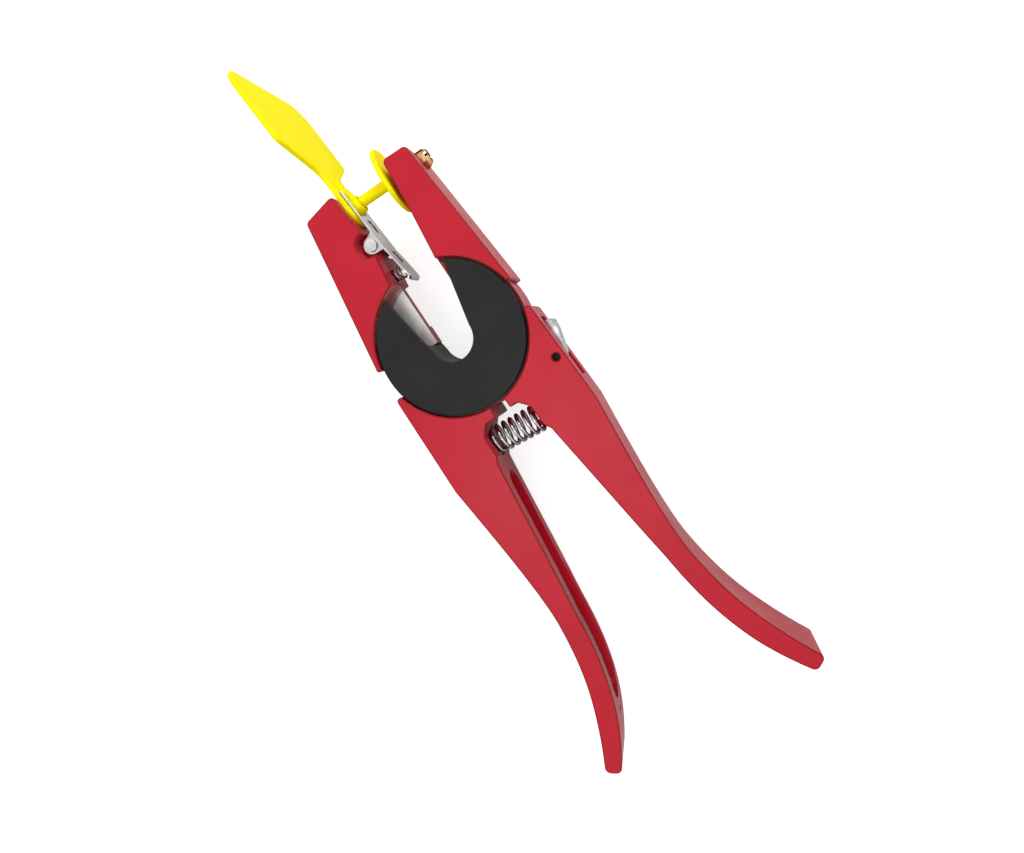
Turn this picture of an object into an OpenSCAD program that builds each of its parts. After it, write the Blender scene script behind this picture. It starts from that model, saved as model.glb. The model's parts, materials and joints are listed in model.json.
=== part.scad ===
// Ear tag pliers, lying on their back with the jaws towards +Y.
// The pivot axis is Z, the rear faces of the levers lie at z = 0.

/* [Levers] */
// Thickness of both cast levers, rear face to front face
body_t = 24; // [21:0.5:28]
// Distance from the pin to the tips of the jaws
tip_reach = 4.7; // [3.6:0.1:9]
// Width of the pin jaw at its tip
pin_tip_w = 10.8; // [9:0.2:14]
// Width of the clip jaw at its tip
clip_tip_w = 15; // [12:0.5:18]
// Distance from the pivot axis to the seat face of the pin jaw
pin_face_x = 16; // [15:0.5:18]
// Distance from the pivot axis to the pin jaw's throat edge at its root
pin_root_x = 12.6; // [12:0.2:14]
// Distance from the pivot axis to the clip jaw's throat edge
clip_root_x = 8.2; // [7.4:0.2:9]
// Reach of the arms beside the pivot covers
arm_out = 32.6; // [32.2:0.2:35]
// Height of the jaws' square ends above the pivot axis
jaw_end_y = 5.5; // [5:0.5:8]
// Radius of the rounded corners of the jaw tips
tip_r = 2; // [0.5:0.25:3]

/* [Handles] */
// Depth of the handles' square ends below the pivot axis
handle_tip_y = 7; // [6.5:0.5:9]
// Radius of the outer corner at a handle's upper end
handle_tip_r = 1.6; // [0.5:0.1:2.4]
// Distance from the pivot to the widest part of a handle
shoulder_y = 51; // [50.5:0.5:56]
// Sideways offset of a handle's middle line at its shoulder
shoulder_x = 22.6; // [22:0.2:24]
// Width of a handle at its shoulder
shoulder_w = 21.2; // [19:0.2:22]
// Distance from the pivot to where the taper ends
taper_y = 116; // [105:1:125]
// Width of a handle along the grip
grip_w = 8.8; // [7.5:0.2:11]
// Sideways offset of the middle line where the grip bends
bend_x = 21; // [18:0.5:24]
// Distance from the pivot to that bend
bend_y = 142; // [130:1:150]
// Sideways offset of the handle's end
end_x = 42.6; // [34:0.2:48]
// Distance from the pivot to the handle's end
end_y = 179; // [168:0.5:190]
// Width of a handle at its end
end_w = 7; // [6:0.2:8]
// Radius of the two corners at a handle's end
end_r = 2.4; // [1:0.1:2.8]
// Turn of the clip lever's handle away from the other one, in degrees
splay = 1.8; // [0:0.2:3]
// Width of the long hollow in the inner face of each handle
hollow_w = 12; // [8:0.5:14]
// Depth of that hollow
hollow_d = 4.6; // [2:0.2:5.5]
// Distance from the pivot to the upper end of the hollow
hollow_top_y = 62; // [60:1:75]
// Distance from the pivot to the lower end of the hollow
hollow_end_y = 152; // [135:1:155]
// Distance from the pivot to the small hole below the hollow
end_hole_y = 162; // [161:0.5:168]
// Diameter of the small hole below the hollow
end_hole_d = 2.6; // [1.5:0.1:3.5]

/* [Pivot] */
// Radius of the round covers
cover_r = 30; // [29:0.25:30.5]
// Thickness of each cover
cover_t = 3; // [2:0.25:4]
// Gap between a cover's rim and the arms around it
cover_gap = 1; // [0.6:0.1:1.1]
// Outer radius of the levers' half-thickness rings
ring_r = 31.2; // [30.6:0.1:31.3]
// Gap between a ring's rim and the other lever's arms
ring_gap = 0.4; // [0.3:0.05:0.5]
// Radius of the bearing core that both rings turn on
core_r = 16; // [15:0.25:17]
// Running clearance of the rings on the core
run_fit = 0.08; // [0.03:0.01:0.1]
// Height of the core's horns above the pivot axis
core_top = 3; // [2:0.25:4]
// Radius of the round bottom of the throat
throat_r = 9.2; // [8.5:0.1:9.6]
// Flare of the throat's side next to the clip jaw, in degrees
clip_flare = 9; // [6:0.5:10]
// Flare of the throat's side next to the pin jaw, in degrees
pin_flare = 12; // [8:0.5:13]
// Thickness of the polished washer between the rings
washer_t = 0.6; // [0.4:0.1:1]
// Gap along the axis beside each ring
lap_gap = 0.15; // [0.1:0.05:0.3]
// Angle at which the pin lever's ring ends short of the clip jaw
ring_end_angle = 150; // [145:1:155]
// Distance from the pivot axis to the cover screws
screw_ring_r = 12.6; // [12.4:0.1:12.8]
// Diameter of a cover screw's shank
screw_d = 3; // [2.5:0.1:3.4]
// Diameter of a cover screw's head
screw_head_d = 5.4; // [4.6:0.1:6]
// Height of a cover screw's head
screw_head_h = 1.8; // [1.4:0.1:1.9]
// Thickness of the clip lever's lip along the throat
lip_t = 4; // [3:0.25:5]
// Depth of the step below that lip
lip_back = 2.6; // [1:0.2:3.4]
// Length of the thicker foot of that lip at the throat's bottom
lip_foot = 8; // [5:0.5:12]
// Thickness of that foot
lip_foot_t = 6.4; // [5.2:0.2:8]

/* [Return spring] */
// Distance from the pivot down to the coil's end on the pin lever
pin_seat_y = 42.7; // [42.4:0.1:43.6]
// Distance from the pivot down to the coil's end on the clip lever
clip_seat_y = 45.2; // [44.4:0.1:45.6]
// Outer diameter of the coil
coil_d = 12; // [11:0.25:12.5]
// Diameter of the wire
wire_d = 1.6; // [1.2:0.1:1.9]
// Number of turns
coil_turns = 8.5; // [6.5:0.5:9]
// Offset of the pin lever's spring seat from the pivot axis
pin_seat_x = 14.4; // [14:0.1:15]
// Offset of the open notch in front of the pin lever's spring seat
pin_notch_x = 10.6; // [10:0.1:12]
// Offset of the clip lever's spring seat from the pivot axis
clip_seat_x = 10.3; // [9.8:0.1:11]
// Offset of the pin lever's closing stop from the pivot axis
pin_stop_x = 2.2; // [1.6:0.1:2.6]
// Offset of the clip lever's closing stop from the pivot axis
clip_stop_x = 3.5; // [3.2:0.1:4.4]
// Depth of the stop blocks below the pivot axis
stop_y = 35.4; // [34.6:0.1:35.8]
// Diameter of the pegs that hold the coil's ends
peg_d = 6.8; // [5:0.1:7]
// Length of those pegs
peg_len = 4; // [2:0.25:5]

/* [Applicator pin] */
// Distance from the pivot axis to the pin at the jaw's seat face
pin_y = 65.5; // [65:0.1:66]
// Lean of the pin and of its seat face, in degrees
pin_lean = 4; // [3:0.25:5]
// Diameter of the pin's threaded shank
shank_d = 4; // [3.5:0.1:5]
// Diameter of the pin's needle
needle_d = 3.2; // [2.4:0.1:3.2]
// Diameter of the pin's flange
flange_d = 8; // [6:0.25:9]
// Thickness of the pin's flange
flange_t = 1.5; // [0.8:0.1:1.8]
// Width of the nut across its flats
nut_af = 7; // [6.4:0.1:8]
// Height of the nut
nut_h = 3.4; // [2.8:0.1:4.5]
// Depth of the nut's round seat in the jaw's outer face
nut_sink = 0.4; // [0.2:0.1:1]
// Height of the round cap on the nut
nut_cap_h = 1.4; // [1:0.1:2.2]
// Width and depth of the slot across that cap
nut_slot = 1.2; // [0.8:0.1:1.4]

/* [Tag clip] */
// Lean of the tag seat and the clip against the jaw's length, in degrees
seat_lean = 4; // [3:0.25:5]
// Offset of the tag seat's reference point from the pivot axis
seat_x = 5; // [4.8:0.1:5.4]
// Distance from the pivot axis to the tag seat's reference point
seat_y = 66.3; // [66:0.1:66.6]
// Width of the clip
clip_w = 14.5; // [13:0.25:17]
// Thickness of the clip's sheet
clip_t = 0.8; // [0.6:0.05:1.2]
// Length of the clip's fork above the pin
fork_len = 6.6; // [5:0.2:9]
// Width of the fork's slot
fork_slot_w = 9.4; // [9:0.1:10]
// Distance from the pin down to the clip's hinge
hinge_drop = 17.8; // [17:0.1:18.4]
// Depth of the hinge axis behind the clip
hinge_back = 2.9; // [2.7:0.1:3.2]
// Distance from the pin down to where the tail bends
tail_drop = 20.8; // [20.4:0.1:21.6]
// Length of the tail
tail_len = 15; // [12:0.5:16]
// Bend of the tail away from the jaw, in degrees
tail_bend = 5; // [2:0.5:7]
// Radius of the curl at the tail's end
curl_r = 1.5; // [1.2:0.1:2.4]
// Radius of the clip's ears round their pin
ear_r = 3.5; // [2.6:0.1:3.7]
// Diameter of the clip's hinge pin
clip_pin_d = 2.4; // [2:0.1:2.6]
// Diameter of the hinge pin's flat heads
clip_pin_head_d = 4.8; // [3.6:0.2:5.4]
// Radius of the round notches beside the hinge
notch_r = 5; // [4.4:0.1:5.4]
// Thickness of the jaw's knuckle between the notches
knuckle_t = 8; // [6:0.25:10]
// Radius of that knuckle
knuckle_r = 2.35; // [2:0.05:2.4]
// Length of the windows in the clip
window_len = 6; // [4:0.25:6.5]
// Width of the windows in the clip
window_w = 4; // [2.5:0.25:6]
// Distance from the pin down to the spring under the tail
tail_spring_drop = 31.8; // [31:0.1:32.2]
// Outer diameter of that spring
tail_coil_d = 6; // [5:0.1:6.4]
// Diameter of its wire
tail_wire_d = 0.8; // [0.6:0.05:0.9]
// Number of its turns
tail_turns = 4.5; // [3.5:0.5:5]
// Depth of its pocket in the jaw
tail_pocket = 3; // [2:0.25:4]

/* [Ear tag] */
// Diameter of the stud's round plate
plate_d = 27.5; // [24:0.5:29]
// Thickness of that plate at its rim
plate_t = 2; // [1.5:0.1:2.4]
// Diameter of the stud's stem
stem_d = 4.6; // [4.2:0.1:4.8]
// Length of the stem from the plate to its head
stem_len = 14; // [12:0.2:14.6]
// Diameter of the stud's pointed head
head_d = 4.9; // [4.6:0.1:5]
// Length of that head
head_len = 2.8; // [2:0.1:3.2]
// Diameter of the flag's round boss
boss_d = 17; // [15:0.25:17.6]
// Depth of that boss behind the clip
boss_t = 4.6; // [3.6:0.1:4.8]
// Diameter of the flag's collar at its root
collar_d = 8.4; // [8:0.1:8.6]
// Diameter of the collar at its mouth
collar_mouth_d = 7.4; // [7.2:0.1:7.8]
// Diameter of the hole through the flag
collar_bore_d = 6.3; // [6.1:0.05:6.4]
// Length of the collar in front of the boss
collar_len = 3.4; // [2.5:0.1:4.5]
// Width of the flag's panel
flag_w = 60; // [44:1:62]
// Distance from the pin to the panel's far edge
flag_len = 61.5; // [50:0.5:66]
// Distance from the pin to the panel's near corners
flag_near = 27; // [24:0.5:32]
// Thickness of the panel
flag_t = 2; // [1.5:0.1:2.6]
// Width of the flag's neck
neck_w = 17; // [12:0.5:17.5]
// Slope of the panel's shoulders along the flag
shoulder_drop = 11; // [8:0.5:14]
// Width of the rib on the neck
rib_w = 7; // [5:0.5:7.5]
// Length of that rib from the pin
rib_len = 16; // [10:0.5:22]
// Radius of the panel's far corners
flag_far_r = 10; // [3:0.5:13]
// Radius of the panel's near corners
flag_near_r = 4; // [1:0.5:10]
// Radius where the neck widens into the panel
neck_r = 7; // [2:0.5:10]

/* [Thumb latch] */
// Sideways offset of the latch's pin
latch_pin_x = 29.3; // [28.9:0.1:29.8]
// Distance from the pivot down to the latch's pin
latch_pin_y = 30; // [29.6:0.1:30.6]
// Diameter of the latch's pin
latch_pin_d = 3; // [2.4:0.1:3.2]
// Depth of the pin's ends below the lever's faces
latch_pin_sink = 3; // [0.5:0.25:4]
// Width of the latch
latch_w = 9; // [7:0.25:10]
// Thickness of the latch's sheet
latch_t = 1; // [0.8:0.05:1.2]
// Clearance beside the latch in its slot
latch_side_gap = 0.4; // [0.3:0.05:0.6]
// Upper end of the latch's slot below the pivot axis
latch_slot_top = 13.4; // [12.6:0.1:13.8]
// Lower end of the latch's slot below the pivot axis
latch_slot_end = 41; // [38:0.5:43]
// Offset of the slot's floor from the pivot axis
latch_floor_x = 25.5; // [24.8:0.1:25.8]

/* [Hidden] */

$fn = 64;
red = "#c4283a";
black = "#2b2c2b";
chrome = "#c9ccce";
steel = "#8f9294";
brass = "#b98a3e";
yellow = "#f4e21e";

eps = 0.01;
far = 300;
pin_fit = 0.05;
seat_gap = 0.3;
end_step = 0.15;
curve_steps = 28;
corner_steps = 7;

// Small roundings of cast edges
edge_r = 0.8;
arm_r = 0.6;
// Slope of the notch beside a stop block, and the roundings along it
notch_run = 3.4;
notch_drop = 4;
notch_round = 5;
notch_end = 48.4;
pocket_run = 8;
// Run of the pin jaw's seat face past the stud's plate, and the bend below it
face_run = 4;
face_bend_r = 6;
// Drop of each jaw's tip from its inner to its outer corner
pin_tip_drop = 1;
clip_tip_drop = 2.2;
// Overlap of each jaw's throat edge with the pivot room
pin_root_lap = 3;
clip_root_lap = 1;
// Room round the tag's boss and round the stud's point in the clip jaw
boss_room = 0.6;
point_room = 0.7;
point_depth = 7;
cut_over = 4;
// Places of the two windows along the clip
window_rise = 7.5;
window_fall = 5;

// Levels along the pivot axis
mid_z = body_t / 2;
rear_ring_z = cover_t + lap_gap;
rear_ring_top = mid_z - washer_t / 2;
front_ring_z = mid_z + washer_t / 2 + lap_gap;
front_ring_top = body_t - cover_t - lap_gap;
room_r = cover_r + cover_gap;
bore_r = core_r + run_fit;

// Small plane geometry helpers
function unit(v) = v / norm(v);
function bezier(p, t) =
    pow(1 - t, 3) * p[0] + 3 * pow(1 - t, 2) * t * p[1]
    + 3 * (1 - t) * t * t * p[2] + pow(t, 3) * p[3];
function bezier_way(p, t) =
    unit(pow(1 - t, 2) * (p[1] - p[0]) + 2 * (1 - t) * t * (p[2] - p[1]) + t * t * (p[3] - p[2]));
function xy(corner) = [corner[0], corner[1]];
function short_turn(a) = a > 180 ? a - 360 : a < -180 ? a + 360 : a;
function corner_arc(before, at, after, r) =
    let (u = unit(before - at),
         v = unit(after - at),
         half = acos(u * v) / 2,
         centre = at + unit(u + v) * r / sin(half),
         first = at + u * r / tan(half) - centre,
         last = at + v * r / tan(half) - centre,
         start = atan2(first[1], first[0]),
         sweep = short_turn(atan2(last[1], last[0]) - start))
    [for (i = [0 : corner_steps])
        centre + r * [cos(start + sweep * i / corner_steps), sin(start + sweep * i / corner_steps)]];

// Outline through corners given as x, y and a rounding radius
function rounded(corners) =
    let (n = len(corners))
    [for (i = [0 : n - 1])
        each corners[i][2] == 0
            ? [xy(corners[i])]
            : corner_arc(xy(corners[(i + n - 1) % n]), xy(corners[i]), xy(corners[(i + 1) % n]), corners[i][2])];
function sharp(points) = [for (p = points) [p[0], p[1], 0]];

// Strip of even thickness along a path, for bent sheet
function path_way(path, i) = unit(path[min(i + 1, len(path) - 1)] - path[max(i - 1, 0)]);
function side_of(path, i, d) = path[i] + d * [-path_way(path, i)[1], path_way(path, i)[0]];
function strip(path, t) =
    let (n = len(path) - 1)
    concat([for (i = [0 : n]) side_of(path, i, t / 2)],
           [for (i = [n : -1 : 0]) side_of(path, i, -t / 2)]);

// Extrusion along X of a shape drawn in Y and Z
module along_x(x, length) {
    translate([x, 0, 0]) rotate([90, 0, 90]) linear_extrude(length) children();
}
// Cylinder along X
module rod_x(x, length, r) {
    translate([x, 0, 0]) rotate([0, 90, 0]) cylinder(r = r, h = length);
}

// Frame of the tag seat: local X along the stud, local Y towards the jaw's tip
module at_seat() {
    translate([-seat_x, seat_y, mid_z]) rotate([0, 0, seat_lean]) children();
}
function turned(p, a) = [p[0] * cos(a) - p[1] * sin(a), p[0] * sin(a) + p[1] * cos(a)];
function seat_point(p) = [-seat_x, seat_y] + turned(p, seat_lean);

// Frame of the applicator pin: local X along the pin towards its nut, from the jaw's seat face
module at_pin() {
    translate([pin_face_x, pin_y, mid_z]) rotate([0, 0, -pin_lean]) children();
}
function pin_point(p) = [pin_face_x, pin_y] + turned(p, -pin_lean);

// Handles, drawn for the right side and mirrored for the left
handle_line = [[shoulder_x, -shoulder_y], [shoulder_x, -taper_y], [bend_x, -bend_y], [end_x, -end_y]];
function handle_width(t) =
    let (done = (-bezier(handle_line, t)[1] - shoulder_y) / (taper_y - shoulder_y))
    grip_w + (shoulder_w - grip_w) * pow(max(0, 1 - done), 1.2)
        - (grip_w - end_w) * pow(max(0, (t - 0.8) / 0.2), 1.5);
// Point of the handle beside its middle line: side 1 is the outer edge, -1 the inner edge
function handle_edge(t, side, inset = 0) =
    let (way = bezier_way(handle_line, t))
    bezier(handle_line, t) + side * (handle_width(t) / 2 - inset) * [-way[1], way[0]];
function handle_end(side) =
    let (way = bezier_way(handle_line, 1),
         corner = handle_edge(1, side) + end_r * way)
    [corner[0], corner[1], end_r];
// Distance along the middle line, given as its depth below the pivot axis
function handle_t(depth, low = 0, high = 1, rounds = 16) =
    let (middle = (low + high) / 2)
    rounds == 0 ? middle
        : -bezier(handle_line, middle)[1] < depth ? handle_t(depth, middle, high, rounds - 1)
        : handle_t(depth, low, middle, rounds - 1);

module handle_shape(stop_x, notch_x) {
    polygon(rounded(concat(
        [[stop_x, -core_r, 0], [arm_out, -handle_tip_y, handle_tip_r]],
        sharp([for (i = [0 : curve_steps]) handle_edge(i / curve_steps, 1)]),
        [handle_end(1), handle_end(-1)],
        sharp([for (i = [curve_steps : -1 : 0]) handle_edge(i / curve_steps, -1)]),
        [[notch_x, -notch_end, notch_round],
         [notch_x, -stop_y - notch_drop, notch_round],
         [notch_x - notch_run, -stop_y, edge_r],
         [stop_x, -stop_y, edge_r]])));
}

// Long hollow in a handle's inner face, with round ends
module handle_hollow() {
    first = handle_t(hollow_top_y);
    last = handle_t(hollow_end_y);
    steps = curve_steps;
    ts = [for (i = [0 : steps]) first + (last - first) * i / steps];
    translate([0, 0, mid_z - hollow_w / 2])
        linear_extrude(hollow_w)
            polygon(concat([for (t = ts) handle_edge(t, -1, -1)],
                           [for (i = [steps : -1 : 0]) handle_edge(ts[i], -1, hollow_d)]));
    for (t = [first, last])
        inner_face_hole(t, hollow_w / 2 - end_step, hollow_d - end_step);
}
// Round hole sunk into a handle's inner face
module inner_face_hole(t, r, depth) {
    place = handle_edge(t, -1, -1);
    way = bezier_way(handle_line, t);
    translate([place[0], place[1], mid_z])
        rotate([0, 0, atan2(way[0], -way[1])])
            rod_x(0, depth + 1, r);
}

// Outlines of the jaws
module pin_jaw_shape() {
    face_top = pin_point([0, tip_reach]);
    face_end = pin_point([0, -plate_d / 2 - face_run]);
    polygon(rounded([
        [pin_root_x, jaw_end_y, 0],
        [arm_out, jaw_end_y, arm_r],
        [face_top[0] + pin_tip_w, face_top[1] - pin_tip_drop, tip_r],
        [face_top[0], face_top[1], tip_r],
        [face_end[0], face_end[1], face_bend_r],
        [pin_root_x, room_r - pin_root_lap, 0]]));
}
lip_x = -2.3;
clip_tip = seat_point([lip_x, tip_reach + 1]);
module clip_jaw_shape() {
    face_end = seat_point([lip_x, -hinge_drop - 2]);
    polygon(rounded([
        [-clip_root_x, core_top + seat_gap, 0],
        [-clip_root_x, room_r - clip_root_lap, 0],
        [face_end[0], face_end[1], 0],
        [clip_tip[0], clip_tip[1], tip_r],
        [clip_tip[0] - clip_tip_w, clip_tip[1] - clip_tip_drop, tip_r],
        [-arm_out, jaw_end_y, arm_r]]));
}

// Each lever's arms in plan
module pin_arms() {
    pin_jaw_shape();
    mirror([1, 0]) handle_shape(pin_stop_x, pin_notch_x);
}
module clip_arms() {
    clip_jaw_shape();
    rotate(splay) handle_shape(clip_stop_x, clip_seat_x);
}

// Throat in plan, shared by the covers and the core
module throat_shape() {
    reach = cover_r + 5;
    circle(r = throat_r);
    polygon([[-throat_r, 0], [throat_r, 0],
             [throat_r + reach * tan(pin_flare), reach],
             [-throat_r - reach * tan(clip_flare), reach]]);
}

// Rings in plan
module pin_ring() {
    difference() {
        circle(r = ring_r);
        circle(r = bore_r);
        polygon([[0, 0], [pin_root_x, 0], [pin_root_x, far],
                 [-far, far], far * [cos(ring_end_angle), sin(ring_end_angle)]]);
    }
}
module clip_ring() {
    difference() {
        circle(r = ring_r);
        core_room();
        polygon([[-clip_root_x, core_top + seat_gap], [-clip_root_x, far],
                 [throat_r + far * tan(pin_flare), far], [throat_r, 0], [-clip_root_x, 0]]);
    }
}
// Space of the core in the clip lever's ring: open on the right, stepped on the left
module core_room() {
    intersection() {
        circle(r = bore_r);
        union() {
            translate([-far, -far]) square([2 * far, far + core_top + seat_gap]);
            translate([-clip_root_x, -far]) square([far, 2 * far]);
        }
    }
}

// Space that an arm leaves for the covers and for the other lever's ring
module pivot_room(other_z, other_top) {
    translate([0, 0, -eps]) cylinder(r = room_r, h = body_t + 2 * eps, $fn = 128);
    translate([0, 0, other_z])
        cylinder(r = ring_r + ring_gap, h = other_top - other_z, $fn = 128);
}

// Arms and ring of one lever
module lever_blank(ring_z, ring_top, other_z, other_top) {
    difference() {
        linear_extrude(body_t) children(0);
        pivot_room(other_z, other_top);
    }
    translate([0, 0, ring_z])
        linear_extrude(ring_top - ring_z)
            union() {
                children(1);
                difference() {
                    intersection() {
                        children(0);
                        circle(r = room_r + 1, $fn = 128);
                    }
                    circle(r = bore_r);
                }
            }
}

// Round pocket for one end of the return spring, and the peg in it that holds the coil
module at_spring_end(place, turn) {
    translate([place[0], place[1], mid_z]) rotate([0, 0, spring_turn + turn]) children();
}
module spring_pocket(place, turn) {
    at_spring_end(place, turn) rod_x(0, pocket_run, coil_d / 2 + 2 * seat_gap);
}
module spring_peg(place, turn) {
    at_spring_end(place, turn) rod_x(-eps, peg_len + eps, peg_d / 2);
}

// Cast lever with the pin jaw on the right and the left handle
module pin_lever() {
    color(red)
    difference() {
        union() {
            difference() {
                lever_blank(front_ring_z, front_ring_top, rear_ring_z - lap_gap, front_ring_z) {
                    pin_arms();
                    pin_ring();
                }
                spring_pocket(pin_seat, 0);
            }
            spring_peg(pin_seat, 0);
        }
        at_pin() {
            rod_x(-1, far, shank_d / 2 + pin_fit);
            rod_x(nut_seat, far, spot_r);
        }
        mirror([1, 0, 0]) {
            handle_hollow();
            inner_face_hole(handle_t(end_hole_y), end_hole_d / 2, hollow_d / 2);
        }
    }
}

// Cast lever with the clip jaw on the left and the right handle
module clip_lever() {
    hinge = seat_point([-hinge_back, -hinge_drop]);
    notch_d = (body_t - knuckle_t) / 2;
    color(red)
    difference() {
        union() {
            difference() {
                lever_blank(rear_ring_z, rear_ring_top, rear_ring_top, body_t - cover_t) {
                    clip_arms();
                    clip_ring();
                }
                translate([hinge[0], hinge[1], body_t - notch_d]) cylinder(r = notch_r, h = notch_d + eps);
                translate([hinge[0], hinge[1], -eps]) cylinder(r = notch_r, h = notch_d + eps);
                spring_pocket(clip_seat, 180);
            }
            spring_peg(clip_seat, 180);
            translate([hinge[0], hinge[1], mid_z - knuckle_t / 2]) cylinder(r = knuckle_r, h = knuckle_t);
        }
        translate([hinge[0], hinge[1], -eps]) cylinder(d = clip_pin_d + 2 * pin_fit, h = body_t + 2 * eps);
        tag_seat();
        tail_spring_pocket();
        throat_relief();
        rotate([0, 0, splay]) latch_slot();
        rotate([0, 0, splay]) handle_hollow();
    }
}
// Scooped seat of the tag's boss, open at the jaw's tip, with room for the stud's point
module tag_seat() {
    seat_r = boss_d / 2 + boss_room;
    at_seat() {
        rod_x(-boss_t - boss_room, boss_t + cut_over, seat_r);
        translate([-boss_t - boss_room, 0, -seat_r]) cube([boss_t + cut_over, far, 2 * seat_r]);
        rod_x(-boss_t - point_depth, point_depth + boss_room, collar_d / 2 + point_room);
    }
}
// Steps under the thin lip along the throat and under its foot
module throat_relief() {
    relief_step(core_top, lip_foot_t);
    relief_step(core_top + lip_foot, lip_t);
}
module relief_step(from_y, thickness) {
    translate([-clip_root_x - lip_back, from_y, -eps])
        cube([lip_back + clip_root_x, room_r - from_y, rear_ring_top - thickness + eps]);
}
module tail_spring_pocket() {
    level = seat_point([0, -tail_spring_drop])[1];
    translate([-clip_root_x - tail_pocket, level, mid_z])
        rod_x(0, tail_pocket + cut_over, tail_coil_d / 2 + seat_gap);
}
// Slot in the outer edge of the right handle, and the holes for the latch's pin
module latch_slot() {
    slot_w = latch_w + 2 * latch_side_gap;
    translate([latch_floor_x, -latch_slot_end, mid_z - slot_w / 2])
        cube([far, latch_slot_end - latch_slot_top, slot_w]);
    translate([latch_pin_x, -latch_pin_y, -eps])
        cylinder(d = latch_pin_d + 2 * pin_fit, h = body_t + 2 * eps);
}

// Round covers and the bearing core between them
module cover_plate(z) {
    translate([0, 0, z])
        linear_extrude(cover_t)
            difference() {
                circle(r = cover_r, $fn = 128);
                throat_shape();
            }
}
screw_angles = [192, 238, 302, 348];
module at_screws() {
    for (a = screw_angles)
        rotate([0, 0, a]) translate([screw_ring_r, 0, 0]) children();
}
screw_reach = 1.6;
module screw_holes() {
    at_screws() translate([0, 0, -eps]) {
        cylinder(d = screw_d + 2 * pin_fit, h = body_t - cover_t + screw_reach + eps);
        cylinder(d = screw_head_d + 4 * pin_fit, h = screw_head_h + 2 * pin_fit + eps);
    }
}
module front_cover() {
    color(black)
    difference() {
        cover_plate(body_t - cover_t);
        screw_holes();
    }
}
module rear_cover() {
    color(black)
    difference() {
        cover_plate(0);
        screw_holes();
    }
}
module pivot_core() {
    color(black)
    difference() {
        translate([0, 0, cover_t])
            linear_extrude(body_t - 2 * cover_t)
                difference() {
                    intersection() {
                        circle(r = core_r, $fn = 128);
                        translate([-far, -far]) square([2 * far, far + core_top]);
                    }
                    throat_shape();
                }
        screw_holes();
    }
}
// Polished washer on the clip lever's ring, seen through the throat
module lap_washer() {
    color(chrome)
    translate([0, 0, rear_ring_top])
        linear_extrude(washer_t)
            intersection() {
                clip_ring();
                circle(r = cover_r - 0.5);
            }
}
module cover_screw(number) {
    color(steel)
    rotate([0, 0, screw_angles[number - 1]])
        translate([screw_ring_r, 0, pin_fit])
            difference() {
                union() {
                    cylinder(d = screw_head_d, h = screw_head_h);
                    cylinder(d = screw_d, h = body_t - cover_t + screw_reach - 2 * pin_fit);
                }
                translate([0, 0, -eps]) cylinder(d = screw_d * 0.7, h = screw_head_h * 0.6, $fn = 6);
            }
}

// One unbroken tube wound round +Z from z = 0: closed end turns, open turns between
ring_sides = 6;
rings_per_turn = 8;
closed_gap = 0.5;
function coil_rise(turn, turns, length, wire) =
    let (slow = wire + closed_gap,
         fast = (length - wire - 2 * slow) / (turns - 2))
    wire / 2 + (turn < 1 ? turn * slow
        : turn < turns - 1 ? slow + (turn - 1) * fast
        : length - wire - (turns - turn) * slow);
function coil_path(turns, length, mean_r, wire) =
    let (n = round(turns * rings_per_turn))
    [for (i = [0 : n])
        let (turn = i / rings_per_turn,
             a = 360 * turn)
        [mean_r * cos(a), mean_r * sin(a), coil_rise(turn, turns, length, wire)]];
// Straight run of one wire diameter added to both ends of a path
function tail_way(at, next) =
    let (out = unit([at[0], at[1], 0]),
         way = next - at)
    unit(way - (out * way) * out);
function with_tails(path, run) =
    let (n = len(path) - 1)
    concat([path[0] - run * tail_way(path[0], path[1])], path, [path[n] - run * tail_way(path[n], path[n - 1])]);
function tube_ring(path, i, r) =
    let (n = len(path) - 1,
         way = unit(path[min(i + 1, n)] - path[max(i - 1, 0)]),
         out = unit([path[i][0], path[i][1], 0]),
         side = unit(out - (out * way) * way),
         up = cross(way, side))
    [for (k = [0 : ring_sides - 1])
        path[i] + r * (cos(360 * k / ring_sides) * side + sin(360 * k / ring_sides) * up)];
module tube(path, r) {
    n = len(path);
    s = ring_sides;
    points = [for (i = [0 : n - 1]) each tube_ring(path, i, r)];
    walls = [for (i = [0 : n - 2], k = [0 : s - 1])
        let (a = i * s + k,
             b = i * s + (k + 1) % s)
        each [[a, a + s, b], [b, a + s, b + s]]];
    caps = [for (k = [1 : s - 2]) each [[0, k, k + 1], [(n - 1) * s, (n - 1) * s + k + 1, (n - 1) * s + k]]];
    polyhedron(points = points, faces = concat(walls, caps), convexity = 10);
}
// Least distance between the walls of turns that lie side by side
function least_gap(path, wire) =
    min([for (i = [0 : len(path) - 1], j = [i + rings_per_turn - 2 : 1 : len(path) - 1])
        if (j > i) norm(path[i] - path[j])]) - wire;

// Return spring between the handles
pin_seat = [-pin_seat_x, -pin_seat_y];
clip_seat = turned([clip_seat_x, -clip_seat_y], splay);
spring_way = unit(clip_seat - pin_seat);
spring_turn = atan2(spring_way[1], spring_way[0]);
spring_from = pin_seat + seat_gap * spring_way;
spring_len = norm(clip_seat - pin_seat) - 2 * seat_gap;
spring_path = with_tails(coil_path(coil_turns, spring_len, (coil_d - wire_d) / 2, wire_d), wire_d);
echo(return_spring_least_gap = least_gap(spring_path, wire_d));
module return_spring() {
    color(steel)
    translate([spring_from[0], spring_from[1], mid_z])
        rotate([0, 0, spring_turn])
            rotate([0, 90, 0])
                tube(spring_path, wire_d / 2);
}

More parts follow.
